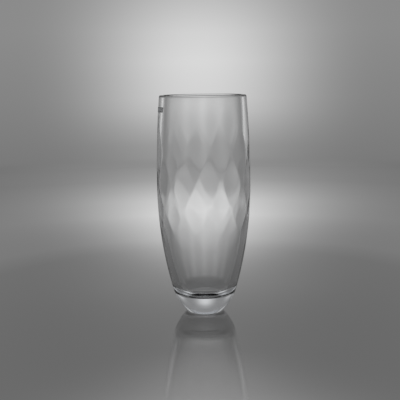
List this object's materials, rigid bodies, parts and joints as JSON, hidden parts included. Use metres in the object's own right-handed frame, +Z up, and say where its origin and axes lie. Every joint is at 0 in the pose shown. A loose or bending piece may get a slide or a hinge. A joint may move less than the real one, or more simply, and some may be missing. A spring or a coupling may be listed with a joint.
{
  "type": "vase",
  "caption": "Tall barrel-shaped crystal vase with a thick solid base, a polished rim and a soft lozenge optic in its inner wall.",
  "frame": {"origin": "centre of the foot's flat face, on the surface that the vase stands on", "axes": "+Z up, along the vase's axis towards the mouth; -Y is the front"},
  "size_m": [0.1282, 0.1282, 0.3],
  "materials": {
    "crystal": "clear colourless crystal, fire polished, with a ground and polished foot",
    "label": "blank dark foil label with a satin varnish"
  },
  "bodies": {
    "root": {"crystal_body": "crystal", "maker_label": "label"}
  },
  "joints": []
}
